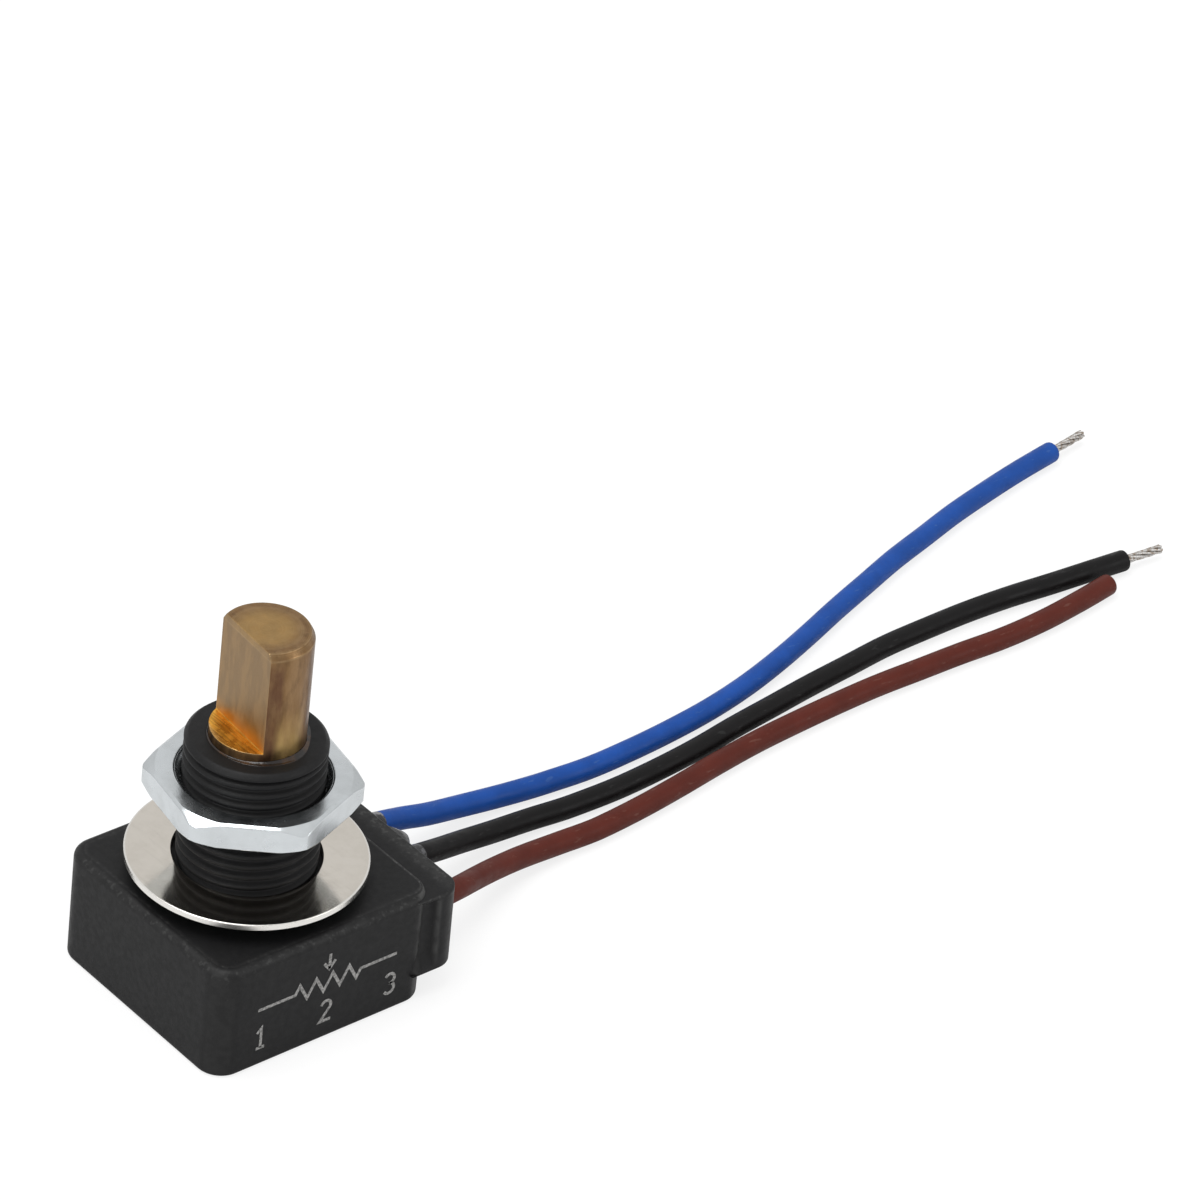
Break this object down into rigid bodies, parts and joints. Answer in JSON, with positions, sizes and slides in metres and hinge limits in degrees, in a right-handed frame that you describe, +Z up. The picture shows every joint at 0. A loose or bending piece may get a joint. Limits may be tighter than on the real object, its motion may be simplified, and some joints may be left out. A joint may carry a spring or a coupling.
{
  "type": "rotary potentiometer",
  "caption": "Square sealed rotary potentiometer with a threaded bushing, panel nut, flatted shaft and three flying leads.",
  "frame": {"origin": "on the shaft's axis, at the back face that the body rests on", "axes": "+Z up the shaft, +X towards the side where the leads come out"},
  "size_m": [0.1024, 0.027, 0.0276],
  "materials": {
    "moulding": "matte charcoal moulding",
    "cover": "matte charcoal plate",
    "resin": "dark potting resin",
    "plated_nut": "bright zinc plate",
    "washer_steel": "plain stamped steel",
    "shaft_brass": "dull turned brass",
    "seal_rubber": "black rubber",
    "spring_steel": "spring steel",
    "rotor_plastic": "natural nylon",
    "wiper_bronze": "sprung phosphor bronze",
    "board": "brown laminate",
    "track_film": "carbon film",
    "track_silver": "silver film",
    "terminal_tin": "tinned strip",
    "blue_insulation": "satin blue insulation",
    "black_insulation": "satin black insulation",
    "brown_insulation": "satin brown insulation",
    "tinned_wire": "tinned stranded copper"
  },
  "bodies": {
    "case": {"housing": "moulding", "rear_cover": "cover", "lead_seal": "resin", "flat_washer": "washer_steel", "element_board": "board", "resistive_track": "track_film", "collector_track": "track_silver", "terminal_1": "terminal_tin", "terminal_2": "terminal_tin", "terminal_3": "terminal_tin", "lead_blue": "blue_insulation", "lead_black": "black_insulation", "lead_brown": "brown_insulation", "core_blue": "tinned_wire", "core_black": "tinned_wire", "core_brown": "tinned_wire"},
    "spindle": {"shaft": "shaft_brass", "shaft_o_ring": "seal_rubber", "thrust_washer": "washer_steel", "retaining_clip": "spring_steel", "rotor": "rotor_plastic", "wiper": "wiper_bronze"},
    "nut": {"mounting_nut": "plated_nut"}
  },
  "joints": [
    {"name": "shaft_turn", "type": "hinge", "parent": "case", "child": "spindle", "pos_m": [0, 0, 0], "axis": [0, 0, 1], "range_deg": [-145, 155]},
    {"name": "nut_travel", "type": "slide", "parent": "case", "child": "nut", "axis": [0, 0, 1], "range_m": [-0.0044, 0.0026]}
  ]
}
